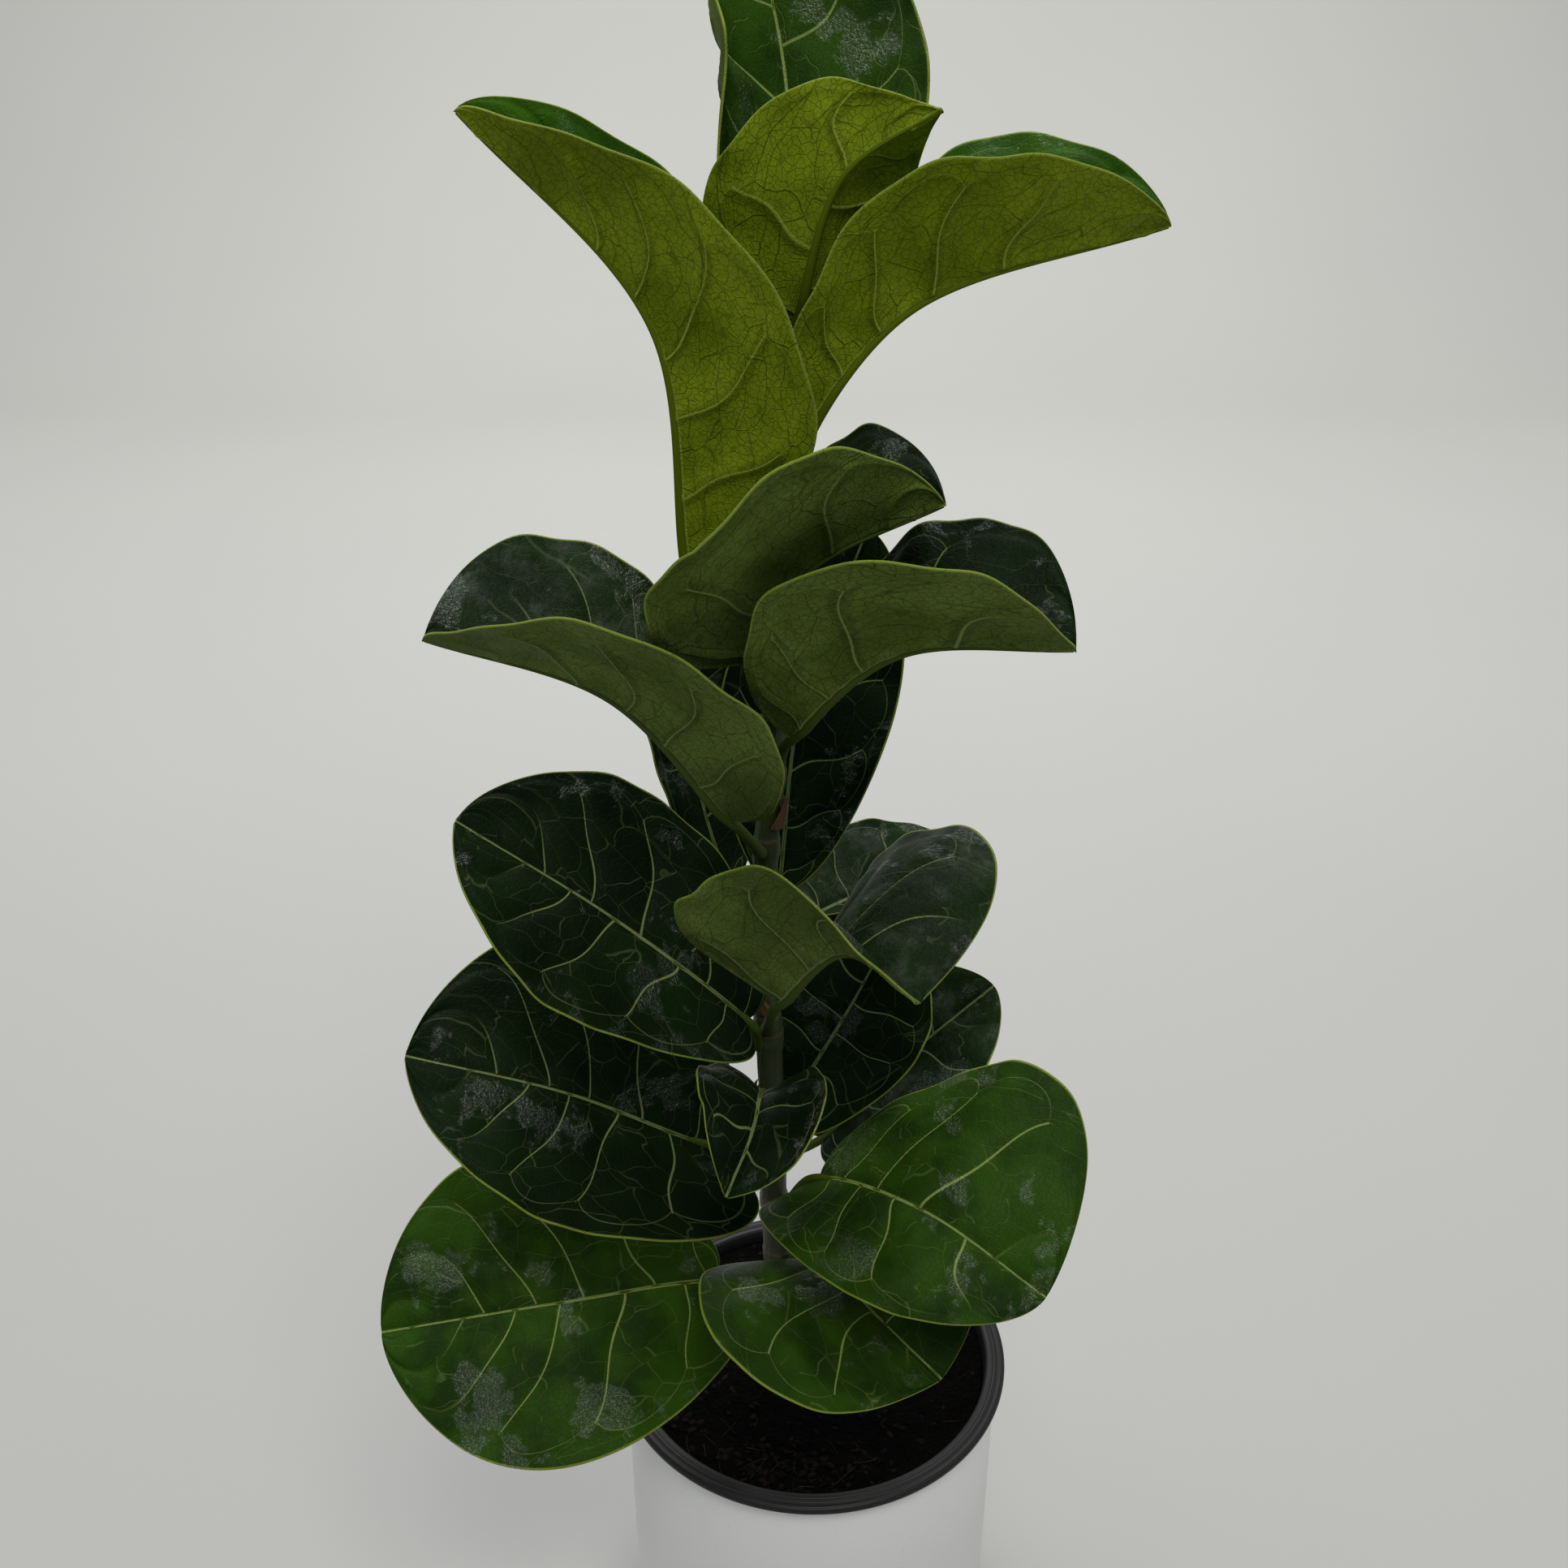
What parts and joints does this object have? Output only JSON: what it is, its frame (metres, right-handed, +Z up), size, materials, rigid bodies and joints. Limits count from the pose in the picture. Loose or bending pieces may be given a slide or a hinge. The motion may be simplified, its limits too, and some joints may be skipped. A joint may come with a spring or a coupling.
{
  "type": "potted fiddle leaf fig",
  "caption": "Young potted fiddle leaf fig: one upright stem of broad, leathery, lyre-shaped leaves, rooted in a black nursery pot that sits in a plain white cover pot.",
  "frame": {"origin": "centre of the flat underside of the cover pot, where it rests", "axes": "+Z up the stem; +X to the right and -Y towards the viewer of the plant's front"},
  "size_m": [0.3167, 0.2568, 0.8534],
  "materials": {
    "leaf": "waxy satin leaf, glossy above, matt and paler below, with pale raised veins",
    "young_leaf": "younger yellow-green leaf, satin, with a fine net of veins below",
    "green_stem": "green bark with leaf scars",
    "bud_sheath": "dark maroon bud scale",
    "dry_stipule": "dry brown papery sheath",
    "potting_soil": "damp dark compost with bark chips and fibres",
    "black_plastic": "moulded satin black",
    "white_ceramic": "satin white glaze"
  },
  "bodies": {
    "root": {"cover_pot": "white_ceramic", "nursery_pot": "black_plastic", "soil": "potting_soil", "stem": "green_stem", "terminal_bud": "bud_sheath", "stipule_1": "dry_stipule", "stipule_2": "dry_stipule", "stipule_3": "dry_stipule", "stipule_4": "dry_stipule", "leaf_01": "leaf", "leaf_02": "leaf", "leaf_03": "leaf", "leaf_04": "leaf", "leaf_05": "leaf", "leaf_06": "leaf", "leaf_07": "leaf", "leaf_08": "leaf", "leaf_09": "leaf", "leaf_10": "leaf", "leaf_11": "leaf", "leaf_12": "leaf", "leaf_13": "leaf", "leaf_14": "leaf", "leaf_15": "leaf", "leaf_16": "young_leaf", "leaf_17": "young_leaf", "leaf_18": "leaf", "leaf_19": "young_leaf"}
  },
  "joints": []
}
